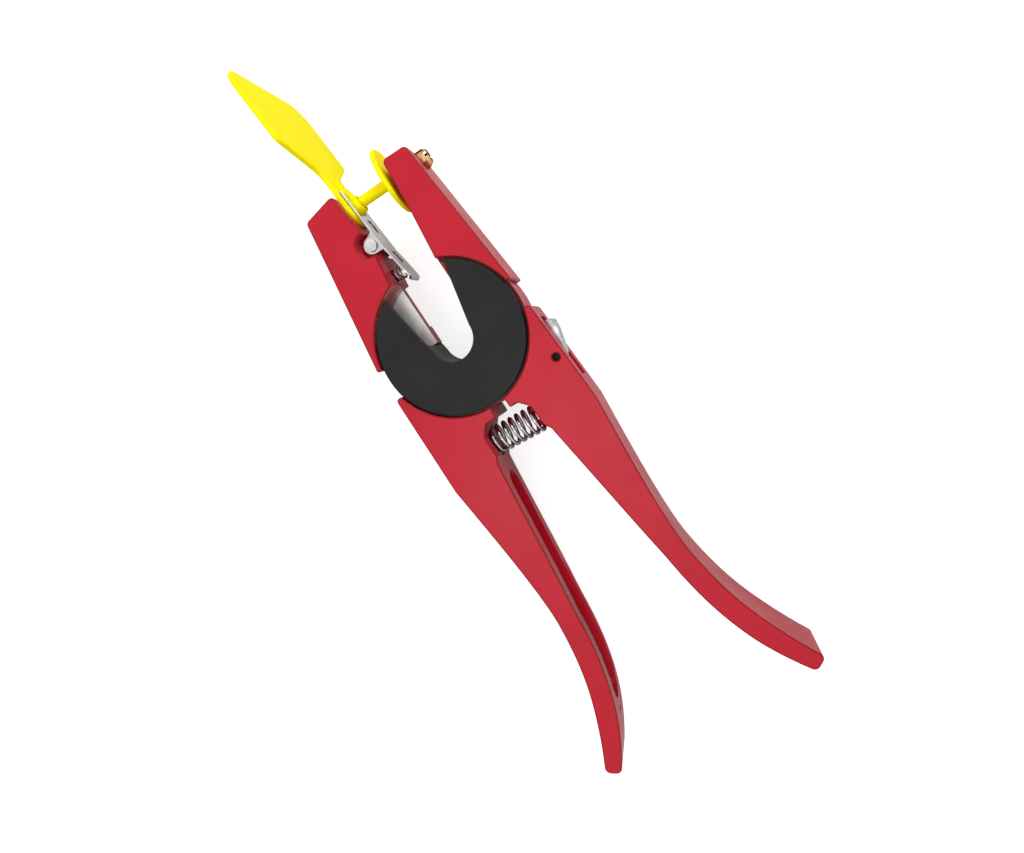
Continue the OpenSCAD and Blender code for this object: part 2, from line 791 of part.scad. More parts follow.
// Applicator pin through the pin jaw, and its nut
nut_seat = pin_tip_w - nut_sink;
spot_r = nut_af / 2 / cos(30) + seat_gap;
nut_cap_taper = 0.8;
needle_tip = -stem_len - plate_t - 1;
module applicator_pin() {
    color(steel)
    at_pin() {
        rod_x(-flange_t, flange_t, flange_d / 2);
        rod_x(-eps, nut_seat + nut_h - seat_gap + eps, shank_d / 2);
        rod_x(needle_tip + needle_d, -flange_t - needle_tip - needle_d + eps, needle_d / 2);
        translate([needle_tip, 0, 0])
            rotate([0, 90, 0]) cylinder(d1 = needle_d * 0.3, d2 = needle_d, h = needle_d + eps);
    }
}
module pin_nut() {
    color(brass)
    at_pin() translate([nut_seat, 0, 0])
        difference() {
            rotate([0, 90, 0]) {
                rotate([0, 0, 30]) cylinder(d = nut_af / cos(30), h = nut_h, $fn = 6);
                translate([0, 0, nut_h - eps])
                    cylinder(d1 = nut_af, d2 = nut_af * nut_cap_taper, h = nut_cap_h + eps);
            }
            rod_x(-eps, nut_h + eps, shank_d / 2 + pin_fit);
            translate([nut_h + nut_cap_h - nut_slot, -nut_slot / 2, -nut_af])
                cube([nut_slot + eps, nut_slot, 2 * nut_af]);
        }
}

// Sprung clip that holds the flag on the clip jaw
clip_mid_x = clip_t / 2 - 0.1;
function clip_path() =
    let (bend = [clip_mid_x, -tail_drop],
         way = [sin(tail_bend), -cos(tail_bend)],
         end = bend + tail_len * way,
         centre = end - curl_r * [way[1], -way[0]] * -1)
    concat([[clip_mid_x, fork_len], bend],
           [for (i = [0 : 6])
               let (a = tail_bend - 80 * i / 6)
               centre + curl_r * [cos(a), sin(a)]]);
module tag_clip() {
    half = clip_w / 2;
    color(chrome)
    at_seat()
        difference() {
            union() {
                translate([0, 0, -half]) linear_extrude(clip_w) polygon(strip(clip_path(), clip_t));
                for (z = [-half, half - clip_t])
                    translate([0, 0, z]) linear_extrude(clip_t) clip_ear();
            }
            translate([-hinge_back, -hinge_drop, -half - eps])
                cylinder(d = clip_pin_d + 2 * pin_fit, h = clip_w + 2 * eps);
            rod_x(-1, 3, fork_slot_w / 2);
            translate([-1, 0, -fork_slot_w / 2]) cube([3, far, fork_slot_w]);
            clip_window(-hinge_drop + window_rise);
            clip_window(-tail_drop - window_fall);
        }
}
module clip_ear() {
    polygon([[-hinge_back, -hinge_drop - ear_r], [0, -hinge_drop - ear_r - 0.5],
             [0, -hinge_drop + ear_r + 1], [-hinge_back, -hinge_drop + ear_r]]);
    translate([-hinge_back, -hinge_drop]) circle(r = ear_r);
}
module clip_window(y) {
    translate([-2, y - window_len / 2, -window_w / 2]) cube([6, window_len, window_w]);
}
module clip_pin() {
    head_t = 1;
    color(steel)
    at_seat() translate([-hinge_back, -hinge_drop, 0]) {
        cylinder(d = clip_pin_d, h = clip_w + 2 * seat_gap, center = true);
        for (side = [-1, 1])
            translate([0, 0, side * (clip_w / 2 + seat_gap + head_t / 2)])
                cylinder(d = clip_pin_head_d, h = head_t, center = true);
    }
}
tail_level = seat_point([0, -tail_spring_drop])[1];
tail_back = seat_point([clip_mid_x + (tail_spring_drop - tail_drop) * tan(tail_bend) - clip_t / 2,
                        -tail_spring_drop])[0];
tail_spring_len = tail_back + clip_root_x + tail_pocket - 2 * seat_gap - tail_coil_d / 2 * tan(seat_lean + tail_bend);
tail_path = with_tails(coil_path(tail_turns, tail_spring_len, (tail_coil_d - tail_wire_d) / 2, tail_wire_d), tail_wire_d);
echo(clip_spring_least_gap = least_gap(tail_path, tail_wire_d));
module clip_spring() {
    color(steel)
    translate([-clip_root_x - tail_pocket + seat_gap, tail_level, mid_z])
        rotate([0, 90, 0])
            tube(tail_path, tail_wire_d / 2);
}

// Folded latch on the right handle
module at_latch() {
    rotate([0, 0, splay]) translate([latch_pin_x, -latch_pin_y, mid_z]) children();
}
latch_web = [[6.3, 13.2], [5.6, 8.6], [4.2, 4], [2.8, -0.8]];
latch_top = [[2.2, 9], [3.6, 14.4], [5.5, 14.2]];
module thumb_latch() {
    half = latch_w / 2;
    color(chrome)
    at_latch()
        difference() {
            union() {
                translate([0, 0, -half]) linear_extrude(latch_w) polygon(strip(latch_web, latch_t));
                for (z = [-half, half - latch_t])
                    translate([0, 0, z]) linear_extrude(latch_t) latch_cheek();
            }
            translate([0, 0, -half - eps]) cylinder(d = latch_pin_d + 2 * pin_fit, h = latch_w + 2 * eps);
        }
}
module latch_cheek() {
    polygon(concat(latch_web, [[0, -latch_pin_d], [-latch_pin_d, 0]], latch_top));
    circle(r = latch_pin_d);
}
module latch_pin() {
    color(steel)
    rotate([0, 0, splay])
        translate([latch_pin_x, -latch_pin_y, latch_pin_sink])
            cylinder(d = latch_pin_d, h = body_t - 2 * latch_pin_sink);
}

// Stud of the ear tag, pushed over the needle
plate_back = -flange_t - seat_gap;
module tag_stud() {
    bore_gap = 0.15;
    needle_r = needle_d / 2 + bore_gap;
    tip_z = plate_back - needle_tip;
    head_z = plate_t + stem_len;
    rim = plate_d / 2;
    color(yellow)
    at_pin() translate([plate_back, 0, 0])
        rotate([0, -90, 0])
            rotate_extrude()
                polygon([[needle_r, 0], [rim - 0.6, 0], [rim, 0.6],
                         [rim, plate_t - 0.5], [rim - 0.5, plate_t],
                         [stem_d, plate_t], [stem_d / 2, plate_t + 1.4],
                         [stem_d / 2, head_z], [head_d / 2, head_z + 0.4],
                         [0.5, head_z + head_len], [0, head_z + head_len],
                         [0, tip_z + bore_gap], [needle_d * 0.15 + bore_gap, tip_z + bore_gap],
                         [needle_r, tip_z - needle_d + bore_gap]]);
}

// Flag of the ear tag: boss, collar, neck and panel
module tag_flag() {
    boss_r = boss_d / 2;
    front = -0.1 - seat_gap;
    color(yellow)
    at_seat()
        difference() {
            union() {
                translate([front, 0, 0]) rotate([0, -90, 0]) rotate_extrude()
                    polygon([[0, 0], [boss_r - 0.6, 0], [boss_r, 0.6], [boss_r, boss_t * 0.45],
                             [boss_r * 0.8, boss_t * 0.8 - seat_gap], [boss_r * 0.5, boss_t - seat_gap],
                             [0, boss_t - seat_gap]]);
                translate([front - eps, 0, 0])
                    rotate([0, 90, 0]) cylinder(d1 = collar_d, d2 = collar_mouth_d, h = collar_len + eps);
                along_x(front - flag_t, flag_t) flag_shape();
                translate([0, 0, -rib_w / 2]) linear_extrude(rib_w) neck_rib(front);
            }
            rod_x(-far, 2 * far, collar_bore_d / 2);
        }
}
module flag_shape() {
    polygon(rounded([
        [0, -neck_w / 2, 0], [flag_near - shoulder_drop, -neck_w / 2, neck_r],
        [flag_near, -flag_w / 2, flag_near_r], [flag_len, -flag_w / 2, flag_far_r],
        [flag_len, flag_w / 2, flag_far_r], [flag_near, flag_w / 2, flag_near_r],
        [flag_near - shoulder_drop, neck_w / 2, neck_r], [0, neck_w / 2, 0]]));
}
// Rib that stiffens the neck between the fork's prongs
module neck_rib(front) {
    polygon([[front - 1, 0], [front + collar_len * 0.6, 0], [front + collar_len * 0.6, rib_len * 0.35],
             [front, rib_len], [front - 1, rib_len]]);
}

pin_lever();
clip_lever();
front_cover();
rear_cover();
pivot_core();
lap_washer();
cover_screw(1);  // cover_screw_1
cover_screw(2);  // cover_screw_2
cover_screw(3);  // cover_screw_3
cover_screw(4);  // cover_screw_4
return_spring();
applicator_pin();
pin_nut();
tag_clip();
clip_pin();
clip_spring();
thumb_latch();
latch_pin();
tag_stud();
tag_flag();
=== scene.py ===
# %% [markdown]
# Ear tag pliers, dressed for a studio picture.
#
# The pliers push a two-part plastic tag through an animal's ear. Two red cast levers turn on a
# round pivot with black covers. One jaw carries a pin with the tag's stud on it, the other a sprung
# clip that holds the tag's flag. This lesson takes the finished solids as a fixed frame, rounds
# their edges, winds the springs and gives every surface its finish.

# %% Load the frame
import json
import math

import bmesh
import bpy
from mathutils import Matrix, Vector
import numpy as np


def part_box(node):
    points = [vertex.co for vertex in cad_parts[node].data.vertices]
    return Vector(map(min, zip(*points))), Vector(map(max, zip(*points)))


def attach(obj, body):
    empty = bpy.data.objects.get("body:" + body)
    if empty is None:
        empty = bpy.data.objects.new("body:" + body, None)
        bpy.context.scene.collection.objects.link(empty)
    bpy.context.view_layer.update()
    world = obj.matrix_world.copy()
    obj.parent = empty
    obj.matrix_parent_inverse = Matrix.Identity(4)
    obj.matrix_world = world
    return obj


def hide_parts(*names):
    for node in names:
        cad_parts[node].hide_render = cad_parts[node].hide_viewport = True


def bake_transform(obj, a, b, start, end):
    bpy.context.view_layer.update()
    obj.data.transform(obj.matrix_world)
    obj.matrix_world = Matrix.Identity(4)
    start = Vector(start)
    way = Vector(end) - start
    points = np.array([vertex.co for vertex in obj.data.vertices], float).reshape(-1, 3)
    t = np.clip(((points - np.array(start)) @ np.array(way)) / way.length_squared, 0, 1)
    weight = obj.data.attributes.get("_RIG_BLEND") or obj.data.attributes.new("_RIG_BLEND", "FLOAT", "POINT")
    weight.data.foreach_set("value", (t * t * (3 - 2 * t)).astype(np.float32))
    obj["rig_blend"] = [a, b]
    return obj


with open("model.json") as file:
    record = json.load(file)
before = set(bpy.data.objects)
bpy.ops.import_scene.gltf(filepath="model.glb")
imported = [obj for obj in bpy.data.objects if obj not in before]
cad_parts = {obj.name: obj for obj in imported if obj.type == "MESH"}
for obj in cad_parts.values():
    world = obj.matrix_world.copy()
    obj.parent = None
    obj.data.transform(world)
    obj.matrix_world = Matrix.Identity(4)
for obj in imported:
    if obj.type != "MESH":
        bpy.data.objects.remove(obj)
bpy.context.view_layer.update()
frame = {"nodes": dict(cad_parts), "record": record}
nodes = frame["nodes"]
bodies = frame["record"]["behaviour"]["bodies"]
body_of = {node: body for body, members in bodies.items() for node in members}
MM = 0.001

# %% [markdown]
# Colours are easiest to choose as screen values from 0 to 255. Shaders count in linear light, so
# one small function turns the first into the second. Another adds a node to a tree and fills its
# inputs: a socket is linked, anything else is set as a plain value. The rest are short names for
# the nodes that every finish needs.

# %% Helpers for node trees
def linear(value):
    share = value / 255
    return share / 12.92 if share <= 0.04045 else ((share + 0.055) / 1.055) ** 2.4


def screen(red, green, blue):
    return (linear(red), linear(green), linear(blue), 1.0)


def add(tree, kind, inputs=None, **settings):
    made = tree.nodes.new(kind)
    for name, value in settings.items():
        setattr(made, name, value)
    for key, value in (inputs or {}).items():
        if isinstance(value, bpy.types.NodeSocket):
            tree.links.new(value, made.inputs[key])
        else:
            made.inputs[key].default_value = value
    return made


print("mid grey in linear light", [round(v, 3) for v in screen(128, 128, 128)])

# %% Sums, steps and blends
def maths(tree, operation, first, second=0.0, third=0.0):
    inputs = {0: first, 1: second, 2: third}
    return add(tree, "ShaderNodeMath", inputs, operation=operation).outputs[0]


def blend_colour(tree, factor, low, high):
    made = add(tree, "ShaderNodeMix", {0: factor, 6: low, 7: high}, data_type="RGBA")
    return made.outputs[2]


def blend_part(tree, mask, share, low, high):
    return blend_colour(tree, maths(tree, "MULTIPLY", mask, share), low, high)


def smooth_step(tree, value, low, high):
    inputs = {"Value": value, "From Min": low, "From Max": high}
    made = add(tree, "ShaderNodeMapRange", inputs, interpolation_type="SMOOTHSTEP")
    return made.outputs["Result"]


def between(tree, factor, low, high):
    inputs = {"Value": factor, "To Min": low, "To Max": high}
    return add(tree, "ShaderNodeMapRange", inputs).outputs["Result"]


print("one millimetre is", MM, "in the scene")

# %% [markdown]
# Four effects are shared by several finishes, so each is a shader group: a fine grain for paint and
# moulded plastic, wear along rounded edges, hairline scratches on bright metal, and the soft
# patches that handling leaves in any gloss. They read Object coordinates, in metres, so a size
# given in millimetres on a piece means the same on every piece.

# %% Frame of a shader group
def new_group(name, inputs, outputs):
    tree = bpy.data.node_groups.new(name, "ShaderNodeTree")
    for label, value in inputs.items():
        socket = tree.interface.new_socket(label, in_out="INPUT", socket_type="NodeSocketFloat")
        socket.default_value = value
    for label in outputs:
        tree.interface.new_socket(label, in_out="OUTPUT", socket_type="NodeSocketFloat")
    return tree, add(tree, "NodeGroupInput").outputs, add(tree, "NodeGroupOutput")


def object_noise(tree, size, detail):
    place = add(tree, "ShaderNodeTexCoord").outputs["Object"]
    scale = maths(tree, "DIVIDE", 1.0, size)
    inputs = {"Vector": place, "Scale": scale, "Detail": detail, "Roughness": 0.5}
    return add(tree, "ShaderNodeTexNoise", inputs).outputs["Fac"]


print("a grain of one millimetre is a noise scale of", round(1 / MM))

# %% Surface grain
ROLLING_SHARE = 0.6
PATCH_EDGE = (0.3, 0.7)

grain, given, result = new_group(
    "Surface Grain", {"Grain Size": 1 * MM, "Patch Size": 12 * MM}, ["Height", "Patches"])
fine = object_noise(grain, given["Grain Size"], 2.0)
patches = object_noise(grain, given["Patch Size"], 3.0)
rolling = maths(grain, "MULTIPLY", patches, ROLLING_SHARE)
grain.links.new(maths(grain, "ADD", fine, rolling), result.inputs["Height"])
grain.links.new(smooth_step(grain, patches, *PATCH_EDGE), result.inputs["Patches"])
print("group", grain.name)

# %% Edge wear
WEAR_LEVEL = 0.75
WEAR_SPAN = 0.5
WEAR_SOFTNESS = 0.08

wear, given, result = new_group(
    "Edge Wear", {"Amount": 0.3, "Patch Size": 3 * MM}, ["Wear", "Edge"])
edge = add(wear, "ShaderNodeAttribute", attribute_name="edge").outputs["Fac"]
patchy = object_noise(wear, given["Patch Size"], 5.0)
start = maths(wear, "SUBTRACT", WEAR_LEVEL, maths(wear, "MULTIPLY", given["Amount"], WEAR_SPAN))
rubbed = smooth_step(wear, patchy, start, maths(wear, "ADD", start, WEAR_SOFTNESS))
wear.links.new(maths(wear, "MULTIPLY", rubbed, edge), result.inputs["Wear"])
wear.links.new(edge, result.inputs["Edge"])
print("group", wear.name)

# %% Hairline scratches
HAIRLINE_TURNS = (0.5, 2.1)
HAIRLINE_TILT = (0.3, 0.2)
HAIRLINE_EDGE = (0.64, 0.74)

scratches, given, result = new_group(
    "Hairlines", {"Width": 0.15 * MM, "Length": 14 * MM}, ["Lines"])
place = add(scratches, "ShaderNodeTexCoord").outputs["Object"]
across = maths(scratches, "DIVIDE", 1.0, given["Width"])
along = maths(scratches, "DIVIDE", 1.0, given["Length"])
stretch = add(scratches, "ShaderNodeCombineXYZ", {"X": across, "Y": along, "Z": across})
found = []
for turn in HAIRLINE_TURNS:
    turned = add(scratches, "ShaderNodeMapping",
                 {"Vector": place, "Rotation": (*HAIRLINE_TILT, turn)})
    scaled = add(scratches, "ShaderNodeVectorMath",
                 {0: turned.outputs[0], 1: stretch.outputs[0]}, operation="MULTIPLY")
    streaks = add(scratches, "ShaderNodeTexNoise",
                  {"Vector": scaled.outputs[0], "Scale": 1.0, "Detail": 1.0}).outputs["Fac"]
    found.append(smooth_step(scratches, streaks, *HAIRLINE_EDGE))
scratches.links.new(maths(scratches, "MAXIMUM", *found), result.inputs["Lines"])
print("group", scratches.name)

# %% Handling marks
MARK_EDGE = (0.35, 0.68)

marks, given, result = new_group("Handling Marks", {"Size": 20 * MM}, ["Marks"])
broad = object_noise(marks, given["Size"], 4.0)
marks.links.new(smooth_step(marks, broad, *MARK_EDGE), result.inputs["Marks"])
print("group", marks.name)

# %% [markdown]
# A finish starts as an empty material with one Principled shader. What is the same all over, such
# as Metallic on steel, is set on the shader itself. What varies comes from the groups: they drive
# the colour, the roughness and the height of a Bump node.

# %% Start of a finish
def new_finish(name, **constants):
    material = bpy.data.materials.new(name)
    material.use_nodes = True
    tree = material.node_tree
    shader = tree.nodes["Principled BSDF"]
    for label, value in constants.items():
        shader.inputs[label.replace("_", " ")].default_value = value
    return material, tree, shader


def use_group(tree, group, **sizes):
    made = add(tree, "ShaderNodeGroup", node_tree=group)
    for label, value in sizes.items():
        made.inputs[label.replace("_", " ")].default_value = value
    return made.outputs


def set_bump(tree, shader, height, depth, strength):
    inputs = {"Height": height, "Distance": depth, "Strength": strength}
    bump = add(tree, "ShaderNodeBump", inputs)
    tree.links.new(bump.outputs["Normal"], shader.inputs["Normal"])


print("groups to build finishes from", [group.name for group in (grain, wear, scratches, marks)])

# %% [markdown]
# The levers are cast metal with a baked powder coat. Such paint has a faint orange-peel ripple, is
# a little uneven in depth and goes thin and pale where edges rub. A satin roughness lets the white
# room show at low angles, which is why the side walls look pinkish grey. They also keep the coarse
# skin of the casting, while the front and the back are dressed flat. An attribute called wall tells
# the two apart.

# %% Red powder coat
PAINT_RED = screen(184, 18, 41)
PAINT_DEEP = screen(177, 15, 37)
# Painted shade: every rounded edge of the levers is coloured darker, which draws a dark outline round the
# faces.
PAINT_EDGE_SHADE = screen(132, 0, 10)
PAINT_RUBBED = screen(196, 86, 90)
PAINT_GLOSS = (0.28, 0.36)
EDGE_SHARE = 0.8
RUBBED_SHARE = 0.35
CHALK_SHARE = 0.24
CAST_HEIGHT = 4.0

red_coat, tree, shader = new_finish(
    "Red powder coat", Specular_IOR_Level=0.5, Specular_Tint=(0.45, 0.45, 0.45, 1.0))
skin = use_group(tree, grain, Grain_Size=0.9 * MM, Patch_Size=26 * MM)
rub = use_group(tree, wear, Amount=0.2, Patch_Size=1.6 * MM)
touch = use_group(tree, marks, Size=30 * MM)
coat = blend_colour(tree, skin["Patches"], PAINT_DEEP, PAINT_RED)
# Painted shade along the rounded edges: they are blended towards the dark edge colour.
edge_shaded = blend_part(tree, rub["Edge"], EDGE_SHARE, coat, PAINT_EDGE_SHADE)
worn = blend_part(tree, rub["Wear"], RUBBED_SHARE, edge_shaded, PAINT_RUBBED)
wall = add(tree, "ShaderNodeAttribute", attribute_name="wall").outputs["Fac"]
cast = maths(tree, "MULTIPLY", wall, use_group(tree, marks, Size=1.6 * MM)["Marks"])
chalky = blend_part(tree, cast, CHALK_SHARE, worn, PAINT_RUBBED)
tree.links.new(between(tree, touch["Marks"], *PAINT_GLOSS), shader.inputs["Roughness"])
height = maths(tree, "MULTIPLY_ADD", cast, CAST_HEIGHT, skin["Height"])
set_bump(tree, shader, height, depth=0.05 * MM, strength=0.8)
print("finish", red_coat.name)

# %% [markdown]
# The paint at the bottom of the narrow gap round the covers is darkened as painted shade. The gap
# could be picked face by face, but the face below a cover reaches far under it. So the shader
# finds the gap by its distance from the pivot axis and its depth below the front and the back.

# %% Painted shade round the covers
PAINT_GAP_SHADE = screen(52, 6, 9)
GAP_SHADE_SHARE = 0.85
LEVER_MIDDLE = 12 * MM
SUNK_FADE = (11.3 * MM, 11.0 * MM)
COVER_FADE = (29.0 * MM, 29.8 * MM)
ARM_FADE = (32.0 * MM, 31.7 * MM)

spot = add(tree, "ShaderNodeTexCoord").outputs["Object"]
level = add(tree, "ShaderNodeSeparateXYZ", {"Vector": spot}).outputs["Z"]
off_middle = maths(tree, "ABSOLUTE", maths(tree, "SUBTRACT", level, LEVER_MIDDLE))
flat = add(tree, "ShaderNodeVectorMath", {0: spot, 1: (1, 1, 0)}, operation="MULTIPLY").outputs[0]
reach = add(tree, "ShaderNodeVectorMath", {0: flat}, operation="LENGTH").outputs["Value"]
sunk = smooth_step(tree, off_middle, *SUNK_FADE)
past_cover = smooth_step(tree, reach, *COVER_FADE)
before_arm = smooth_step(tree, reach, *ARM_FADE)
gap = maths(tree, "MULTIPLY", maths(tree, "MULTIPLY", past_cover, before_arm), sunk)
# Painted shade: the paint at the bottom of the gap is blended towards a near-black red.
painted_gap_shade = maths(tree, "MULTIPLY", gap, maths(tree, "SUBTRACT", GAP_SHADE_SHARE, wall))
tree.links.new(blend_colour(tree, painted_gap_shade, chalky, PAINT_GAP_SHADE), shader.inputs["Base Color"])
print("grime up to", round(ARM_FADE[0] / MM, 1), "mm from the pivot axis")

# %% [markdown]
# The covers and the core are moulded in black plastic. A spark-finished mould leaves a very fine
# grain, so the highlight is broad and dull, and the part looks dark grey rather than black. The
# core is greyer than the covers, as its wall is rubbed by every ear that goes in.

# %% Black moulded plastic
PLASTIC_EDGE = screen(62, 63, 62)
PLASTIC_EDGE_SHARE = 0.6
PLASTIC_GLOSS = (0.42, 0.54)


def black_plastic(name, dark, pale):
    material, tree, shader = new_finish(name, Specular_IOR_Level=0.18)
    skin = use_group(tree, grain, Grain_Size=0.35 * MM, Patch_Size=18 * MM)
    rub = use_group(tree, wear, Amount=0.35, Patch_Size=2.2 * MM)
    touch = use_group(tree, marks, Size=16 * MM)
    base = blend_colour(tree, skin["Patches"], dark, pale)
    worn = blend_part(tree, rub["Wear"], PLASTIC_EDGE_SHARE, base, PLASTIC_EDGE)
    tree.links.new(worn, shader.inputs["Base Color"])
    tree.links.new(between(tree, touch["Marks"], *PLASTIC_GLOSS), shader.inputs["Roughness"])
    set_bump(tree, shader, skin["Height"], depth=0.015 * MM, strength=0.45)
    print("finish", name)
    return material


black_moulding = black_plastic("Black moulding", screen(24, 25, 25), screen(30, 31, 30))
core_moulding = black_plastic("Rubbed moulding", screen(58, 58, 56), screen(68, 68, 65))

# %% [markdown]
# The rest is bare metal: bright plated sheet for the clip, the same sheet rubbed dull by the thumb
# for the latch, a satin washer, the faced step of the levers, drawn wire for the springs, turned
# steel for pins and screws, dark oiled steel, which also serves as painted shade in a drilled hole
# and in the clip's windows, and a golden plated nut. They differ in colour, in how smooth they are
# and in how long their hairlines are, so one function makes all of them. The rim value dims what
# the metal mirrors at low angles, which draws dark outlines round bright wire.

# %% How bare metal is made
HAIRLINE_SHARE = 0.3
POLISHED_SHARE = 0.5


def bare_metal(name, bright, dull, gloss, hairline, rim):
    material, tree, shader = new_finish(name, Metallic=1.0, Specular_Tint=(rim, rim, rim, 1.0))
    touch = use_group(tree, marks, Size=7 * MM)
    lines = use_group(tree, scratches, Width=0.12 * MM, Length=hairline)["Lines"]
    rub = use_group(tree, wear, Amount=0.5, Patch_Size=1 * MM)
    body = blend_colour(tree, touch["Marks"], dull, bright)
    lined = blend_part(tree, lines, HAIRLINE_SHARE, body, dull)
    polished = blend_part(tree, rub["Wear"], POLISHED_SHARE, lined, bright)
    tree.links.new(polished, shader.inputs["Base Color"])
    hazy = maths(tree, "ADD", touch["Marks"], lines)
    tree.links.new(between(tree, hazy, *gloss), shader.inputs["Roughness"])
    set_bump(tree, shader, lines, depth=0.004 * MM, strength=0.2)
    print("finish", name)
    return material


# %% Bare metals
bright_sheet = bare_metal("Bright plated sheet", screen(216, 217, 218), screen(196, 196, 195),
                          gloss=(0.10, 0.20), hairline=9 * MM, rim=1.0)
latch_sheet = bare_metal("Rubbed plated sheet", screen(218, 220, 221), screen(160, 162, 163),
                         gloss=(0.10, 0.20), hairline=6 * MM, rim=1.0)
polished_washer = bare_metal("Satin washer", screen(246, 245, 244), screen(238, 237, 236),
                             gloss=(0.45, 0.55), hairline=20 * MM, rim=1.0)
machined = bare_metal("Faced step", screen(190, 187, 183), screen(166, 163, 159),
                      gloss=(0.32, 0.42), hairline=5 * MM, rim=0.6)
drawn_wire = bare_metal("Drawn spring wire", screen(214, 215, 217), screen(178, 179, 181),
                        gloss=(0.08, 0.16), hairline=6 * MM, rim=0.2)
turned_steel = bare_metal("Turned steel", screen(230, 230, 228), screen(208, 208, 206),
                          gloss=(0.14, 0.24), hairline=3 * MM, rim=0.4)
# Dark oiled steel for the latch pin, also used as painted shade in a drilled hole and in the clip's windows.
oiled_steel_and_shade = bare_metal("Oiled steel and painted shade", screen(44, 42, 41), screen(30, 29, 28),
                         gloss=(0.40, 0.55), hairline=3 * MM, rim=0.5)
nut_plating = bare_metal("Golden plated nut", screen(252, 218, 160), screen(164, 104, 52),
                         gloss=(0.08, 0.16), hairline=4 * MM, rim=0.1)

# %% [markdown]
# The tag is a soft polyurethane moulding in signal yellow. Light goes a little way into it, so thin
# edges glow instead of turning dark. Subsurface gives that, and a fine moulded grain breaks up the
# highlight.

# %% Yellow tag moulding
TAG_YELLOW = screen(255, 238, 10)
TAG_WARM = screen(254, 234, 8)
TAG_GLOSS = (0.5, 0.62)

tag_moulding, tree, shader = new_finish(
    "Yellow tag moulding", Specular_IOR_Level=0.03, Subsurface_Weight=0.25,
    Subsurface_Radius=(1.0, 0.8, 0.15), Subsurface_Scale=1.2 * MM)
skin = use_group(tree, grain, Grain_Size=0.5 * MM, Patch_Size=14 * MM)
touch = use_group(tree, marks, Size=12 * MM)
warmed = blend_colour(tree, skin["Patches"], TAG_WARM, TAG_YELLOW)
tree.links.new(warmed, shader.inputs["Base Color"])
tree.links.new(between(tree, touch["Marks"], *TAG_GLOSS), shader.inputs["Roughness"])
set_bump(tree, shader, skin["Height"], depth=0.01 * MM, strength=0.2)
print("finish", tag_moulding.name)

# %% [markdown]
# Solids from a drawing have knife-sharp edges, and real castings, mouldings and pressings don't.
# A Bevel modifier would round every edge alike, so instead a copy of each solid is merged, its
# flat triangles are joined, and only chosen edges are rounded. The new faces are marked in an
# attribute called edge, which the wear group reads. A Weighted Normal modifier keeps flats flat.

# %% Merged copies
MERGE = 0.002 * MM
FLAT = math.radians(0.5)


def merged_copy(node):
    shape = bmesh.new()
    shape.from_mesh(nodes[node].data)
    bmesh.ops.remove_doubles(shape, verts=shape.verts, dist=MERGE)
    bmesh.ops.dissolve_limit(shape, angle_limit=FLAT, verts=shape.verts, edges=shape.edges)
    shape.faces.layers.float.new("edge")
    return shape


trial = merged_copy("pin_lever")
print("pin_lever has", len(nodes["pin_lever"].data.polygons), "triangles, merged", len(trial.faces))
trial.free()

# %% Rounding chosen edges
SHARP = math.radians(30)
LEVEL = 0.01 * MM


def is_outer_edge(edge):
    return edge.is_manifold and edge.is_convex and edge.calc_face_angle() > SHARP


def round_edges(shape, wanted, width, segments=3):
    mark = shape.faces.layers.float["edge"]
    edges = [edge for edge in shape.edges if is_outer_edge(edge) and wanted(edge)]
    made = bmesh.ops.bevel(shape, geom=edges, offset=width, segments=segments, profile=0.5,
                           affect="EDGES", clamp_overlap=False)
    for face in made["faces"]:
        face[mark] = 1.0
    return len(edges)


def at_level(*levels):
    def wanted(edge):
        return any(all(abs(v.co.z - level) < LEVEL for v in edge.verts) for level in levels)
    return wanted


print("edges over", round(math.degrees(SHARP)), "degrees can be rounded")

# %% From a shape to a finished piece
def new_object(name, data):
    made = bpy.data.objects.new(name, data)
    bpy.context.scene.collection.objects.link(made)
    return made


def shade_smooth(mesh, sharp_angle):
    for face in mesh.polygons:
        face.use_smooth = True
    mesh.set_sharp_from_angle(angle=sharp_angle)


def new_piece(name, shape):
    mesh = bpy.data.meshes.new(name)
    shape.to_mesh(mesh)
    shape.free()
    shade_smooth(mesh, SHARP)
    return new_object(name, mesh)


def keep_flats(piece):
    flats = piece.modifiers.new("Flats stay flat", "WEIGHTED_NORMAL")
    flats.keep_sharp = True
    return piece


def stand_for(piece, finish, slot, *replaced):
    piece.data.materials.append(finish)
    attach(piece, body_of[replaced[0]])
    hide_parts(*replaced)
    print(piece.name, "faces", len(piece.data.polygons), "rides", body_of[replaced[0]])


print("pieces can ride on", sorted(set(body_of.values())))

# %% [markdown]
# The two levers are castings with a soft rim all round their front and rear faces. The rim is
# picked by height: its edges lie on the front plane or on the rear plane of the lever. The step on
# which the two pivot rings lap is faced after painting, so it is bare metal. Those faces are found
# by their height and their distance from the pivot axis, and get a second material. A third, dark
# steel, goes into the small hole drilled near the end of one handle, as painted shade in the hole.

# %% Faces of the levers
WALL_TILT = 0.3
LAP_RADIUS = 31.7 * MM
LAP_DEPTH = 1 * MM
HOLE_PLACE = Vector((-31.2 * MM, -163.2 * MM, LEVER_MIDDLE))
HOLE_REACH = 2.9 * MM
PAINTED = 0
FACED = 1
HOLE_SHADE = 2


def is_drilled(face):
    return all((corner.co - HOLE_PLACE).length < HOLE_REACH for corner in face.verts)


def is_faced(face):
    near_lap = all(abs(corner.co.z - LEVER_MIDDLE) < LAP_DEPTH for corner in face.verts)
    return near_lap and all(corner.co.xy.length < LAP_RADIUS for corner in face.verts)


print("the rings lap within", round(LAP_RADIUS / MM, 1), "mm of the pivot axis")

# %% Cast levers
RIM = 0.55 * MM

